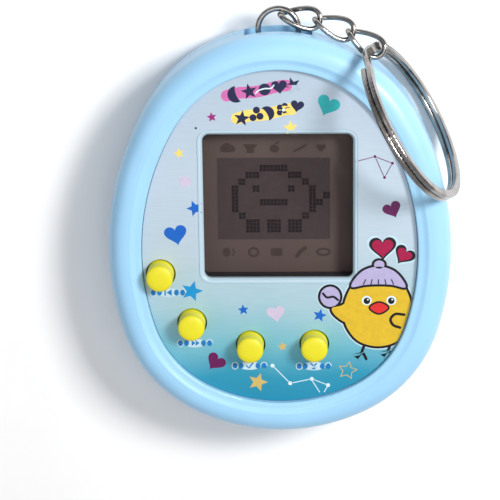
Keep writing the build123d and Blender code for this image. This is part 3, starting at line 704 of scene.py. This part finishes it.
def chick():
    """A plain round chick with a knitted cap and a ball, drawn with a thick black line and a pale halo."""
    body = smooth([(13.9, -4.9), (10.9, -6.7), (9.4, -10.0), (9.6, -13.0), (11.4, -15.6), (14.4, -16.5),
                   (17.3, -15.6), (19.0, -13.0), (19.2, -10.0), (17.6, -6.6)])
    wing = smooth([(10.4, -9.6), (8.9, -10.2), (7.6, -10.6), (8.2, -11.8), (10.0, -12.7)])
    ball, ball_half = (7.35, -8.8), (1.45, 1.55)
    cap = smooth([(12.4, -7.0), (14.4, -6.9), (16.4, -7.0), (18.3, -7.4), (17.8, -6.1), (16.5, -4.8),
                  (14.5, -4.2), (12.4, -4.7), (11.0, -6.0), (10.5, -7.3)])
    bobble = oval((14.5, -3.9), (0.75, 0.62))
    line = 0.36
    halo = [grown(body, 0.55), grown(wing, 0.55), oval(ball, (1.98, 2.08)), heart((15.0, -1.55), 4.7, 2),
            heart((18.0, -2.65), 3.8, -34)]
    for k, loop in enumerate(halo):
        printed(f"print_chick_halo_{k + 1}", [on_plate(loop)], 1 + 0.2 * k, HALO)
    printed("print_chick_line", [on_plate(grown(body, line))], 3, BLACK)
    printed("print_wing_line", [grown(wing, line)], 2.8, BLACK)
    printed("print_ball_line", [oval(ball, (ball_half[0] + line, ball_half[1] + line))], 3.4, BLACK)
    printed("print_cap_line", [grown(cap, line)], 4.2, BLACK)
    printed("print_bobble_line", [grown(bobble, line)], 3.6, BLACK)
    printed("print_chick_body", [on_plate(body)], 4, CHICK)
    printed("print_wing", [wing], 3.8, CHICK)
    printed("print_ball", [oval(ball, ball_half)], 5, LAVENDER)
    printed("print_cap", [cap, bobble], 5, LAVENDER)
    feet = []
    for x, y in ((12.3, -16.7), (16.2, -16.4)):
        feet += [stroke([(x, y + 0.2), (x - 0.3, y - 0.7)], 0.42),
                 stroke([(x - 0.45, y - 0.95), (x - 1.5, y - 1.2)], 0.4),
                 stroke([(x - 0.35, y - 1.2), (x - 0.7, y - 1.9)], 0.4),
                 stroke([(x, y - 1.0), (x + 0.35, y - 1.8)], 0.4)]
    printed("print_feet", [on_plate(loop) for loop in feet], 2.6, BLACK)
    printed("print_eye_white", [oval((12.7, -9.4), (0.72, 0.72)), oval((16.3, -9.4), (0.72, 0.72))], 5, WHITE)
    printed("print_eyes", [oval((12.72, -9.45), (0.48, 0.5)), oval((16.28, -9.45), (0.48, 0.5))], 6, BLACK)
    printed("print_eye_glints", [oval((12.85, -9.25), (0.13, 0.13)), oval((16.42, -9.25), (0.13, 0.13))], 7, WHITE)
    beak = smooth([(14.5, -9.75), (13.2, -10.5), (14.5, -11.35), (15.8, -10.5)])
    printed("print_beak_line", [grown(beak, 0.27)], 5, BLACK)
    printed("print_beak", [beak], 6, RED)
    wing_mark = smooth([(18.2, -11.6), (16.9, -11.5), (16.2, -12.3), (16.6, -13.2), (17.6, -13.6)], False)
    ball_mark = smooth([(6.3, -8.3), (6.9, -8.9), (7.8, -8.8), (8.5, -9.3)], False)
    printed("print_marks", [stroke(wing_mark, 0.4), stroke(ball_mark, 0.34)], 6, BLACK)
    ribs = [stroke([(14.4 + x, -7.0 + 0.04 * abs(x)), (14.4 + x * 0.86, -6.2)], 0.16)
            for x in (-2.2, -1.1, 0.0, 1.1, 2.2)]
    printed("print_cap_ribs", ribs, 6, NAVY)
    hearts = [((15.0, -1.5), 3.1, 2), ((18.0, -2.6), 2.3, -34)]
    for k, (centre, size, turn) in enumerate(hearts):
        printed(f"print_heart_line_{k + 1}", [heart(centre, size + 0.85, turn)], 3, BLACK)
        printed(f"print_heart_{k + 1}", [heart(centre, size, turn)], 4, CRIMSON)


title()
motifs()
labels()
chick()


# ------------------------------------------------------------------ display: dots, signs and the dark field
CRITTER = """
................
......####......
....##....##....
...#........#...
..#..#....#..#..
..#..........#.#
..#...####...##.
..#..........#..
...#........#...
....##.##.##....
....##.##.##....
................
""".split()
DOT = 1.03  # one dot of the picture, made of two by two small cells
DOT_GAP = 0.07  # between two small cells


def boxes(name, centres, half, low, high, material):
    """Closed boxes at the centres: the eight corners are centre +- half at the two heights."""
    corner = np.array([(x, y) for x, y in ((-1, -1), (1, -1), (1, 1), (-1, 1))]) * half
    flat = np.asarray(centres, float)[:, None] + corner
    points = np.concatenate([np.insert(flat, 2, low, 2), np.insert(flat, 2, high, 2)], 1)
    faces = np.array([(3, 2, 1, 0), (4, 5, 6, 7), (0, 1, 5, 4), (1, 2, 6, 5), (2, 3, 7, 6), (3, 0, 4, 7)])
    faces = (faces + 8 * np.arange(len(flat))[:, None, None]).reshape(-1, 4)
    return mesh_object(name, points, faces.tolist(), material, smooth=False)


LCD_FIELD = ink("lcd_field", srgb(72, 62, 63), 0.9, 0.0)
LCD_DARK = ink("lcd_dark", srgb(42, 36, 40), 0.9, 0.0)
LCD_SIGN = ink("lcd_sign", srgb(73, 61, 59), 0.9, 0.0)
FIELD_CENTRE = (-0.85, 5.05)


def display():
    """A creature in coarse dots on a slightly darker field, between two rows of faint signs."""
    rows, cols = len(CRITTER), len(CRITTER[0])
    field = round_rect(FIELD_CENTRE, (cols * DOT, rows * DOT), 0.1)
    printed("lcd_field", [field], 1, LCD_FIELD, LCD_TOP_Z)
    lit = np.array([(c == "#") for row in CRITTER for c in row]).reshape(rows, cols)
    row, col = np.nonzero(lit)
    cell = np.stack([(col - (cols - 1) / 2) * DOT, ((rows - 1) / 2 - row) * DOT], 1) + FIELD_CENTRE
    quarter = DOT / 4 * np.array([(-1, -1), (1, -1), (1, 1), (-1, 1)])
    cells = (cell[:, None] + quarter).reshape(-1, 2)
    dots = boxes("lcd_dots", cells, DOT / 4 - DOT_GAP / 2, LCD_TOP_Z - 0.02, LCD_TOP_Z + 3 * LAYER, LCD_DARK)
    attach(dots, "case")
    y = 12.75
    upper = [
        smooth([(-8.4, y - 0.6), (-8.5, y + 0.2), (-7.7, y + 0.7), (-7.0, y + 0.5), (-6.4, y), (-6.6, y - 0.6)]),
        turned([(-1.1, 0.5), (1.1, 0.5), (0.6, -0.1), (0.5, -0.8), (-0.5, -0.8), (-0.6, -0.1)], (-4.2, y)),
        oval((-0.7, y - 0.15), (0.7, 0.6)), stroke([(-0.5, y + 0.6), (0.0, y + 0.85)], 0.22),
        stroke([(2.2, y - 0.5), (3.0, y - 0.15), (3.9, y + 0.4)], 0.34), heart((6.1, y - 0.1), 1.4, 0),
    ]
    y = -3.1
    lower = [
        oval((-7.9, y), (0.55, 0.7)), stroke([(-7.0, y + 0.5), (-6.7, y), (-7.0, y - 0.5)], 0.2),
        oval((-3.9, y), (0.85, 0.8)), oval((-3.9, y), (0.5, 0.45)), round_rect((-0.5, y), (1.7, 1.2), 0.3),
        stroke([(2.5, y - 0.6), (3.0, y + 0.1), (3.7, y + 0.6)], 0.6),
        oval((6.4, y), (1.1, 0.65)), oval((6.4, y), (0.7, 0.3)),
    ]
    printed("lcd_signs", upper + lower, 1, LCD_SIGN, LCD_TOP_Z)


display()


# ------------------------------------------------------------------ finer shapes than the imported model's
WINDOW_SIZE, WINDOW_CORNER = (21.7, 21.6), 1.0
LIP_WIDTH, LIP_DEPTH = 0.66, 0.75
LIP = plain("window_lip", srgb(180, 204, 218), 0.3, spread=0.02, grain=3, Coat_Weight=0.4, Coat_Roughness=0.15)


def window_lip():
    """The printed plate's edge rolls down into the window: a rounded band swept round the window's outline."""
    profile = rounded([(-0.02, FACE_Z - LIP_DEPTH, 0.02), (0.06, FACE_Z - LIP_DEPTH, 0.02),
                       (LIP_WIDTH, FACE_Z + 0.005, 0.3), (LIP_WIDTH, FACE_Z + 0.02, 0.01),
                       (0.3, FACE_Z + 0.03, 0.3), (-0.02, FACE_Z - 0.35, 0.3)], 6)
    edge = round_rect(WINDOW_CENTRE, WINDOW_SIZE, WINDOW_CORNER, 12)
    flat = edge + profile[:, 0, None, None] * normals(edge, True)
    loops = np.concatenate([flat, np.broadcast_to(profile[:, 1, None, None], flat.shape[:2] + (1,))], 2)
    piece = grid_object("window_lip", loops, LIP)
    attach(piece, "case")


window_lip()


def rim_roll():
    """The rim rolls softly down to the band round the plate: a section of (inset, z) swept along the outline."""
    top = smooth([(3.0, RIM_Z - 0.03), (3.12, RIM_Z + 0.012), (3.4, RIM_Z - 0.03), (3.75, RIM_Z - 0.19),
                  (4.1, RIM_Z - 0.3), (4.45, RIM_Z - 0.33), (4.55, RIM_Z - 0.38)], False, 4)
    section = np.concatenate([top, [(4.5, RIM_Z - 0.55), (3.1, RIM_Z - 0.3)]])
    phi = egg_steps(0.4)
    points = np.array([np.insert(egg(phi, inset), 2, z, 1) for inset, z in section])
    piece = grid_object("rim_roll", points, case_blue)
    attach(piece, "case")


rim_roll()


def domed_buttons():
    """Each top is a superellipse turned round the button: r = R cos(a)^p, z = top - h + h sin(a)^p."""
    shoulder, radius, power = 0.6, 1.95, 0.62
    flange_radius, flange_height = 2.8, 0.8
    a = np.linspace(0, pi / 2, 24)[:, None]
    crown = np.concatenate([radius * np.cos(a) ** power, shoulder * (np.sin(a) ** power - 1)], 1)
    for name, centre in BUTTONS.items():
        low = low_high(f"{name}_button")[0][2]
        flange = rounded([(0, low, 0), (flange_radius, low, 0.1), (flange_radius, low + flange_height, 0.1),
                          (radius, low + flange_height, 0)], 8)
        profile = np.concatenate([flange, crown + (0, BUTTON_TOP_Z)])
        piece = spin(f"{name}_button_cap", centre, profile, button_yellow)
        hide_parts(f"{name}_button")
        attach(piece, f"{name}_button")


domed_buttons()


def rubber_domes():
    """The domes under the buttons, as turned rubber cups.

    The profile (r, z) runs under the contact pill, down inside the skirt to the foot, and back over the top.
    """
    pill_radius, pill_low = 1.0, 1.1
    roof, roof_radius, top_radius, wall, keep = 0.5, 1.35, 1.7, 0.35, 0.62
    for name in BUTTONS:
        low, high = low_high(f"{name}_dome")
        radius, foot, top = (high[0] - low[0]) / 2, low[2], high[2]
        profile = rounded([(0, top - pill_low, 0), (pill_radius, top - pill_low, 0.1),
                           (pill_radius, top - roof, 0.1), (roof_radius, top - roof, 0.15),
                           (radius - wall, foot, 0.05), (radius, foot, 0.05), (top_radius, top, 0.3),
                           (0, top, 0)], 8)
        piece = spin(f"{name}_dome_cup", middle(f"{name}_dome"), profile, grey_rubber)
        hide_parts(f"{name}_dome")
        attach(piece, "case")
        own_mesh(piece)


rubber_domes()
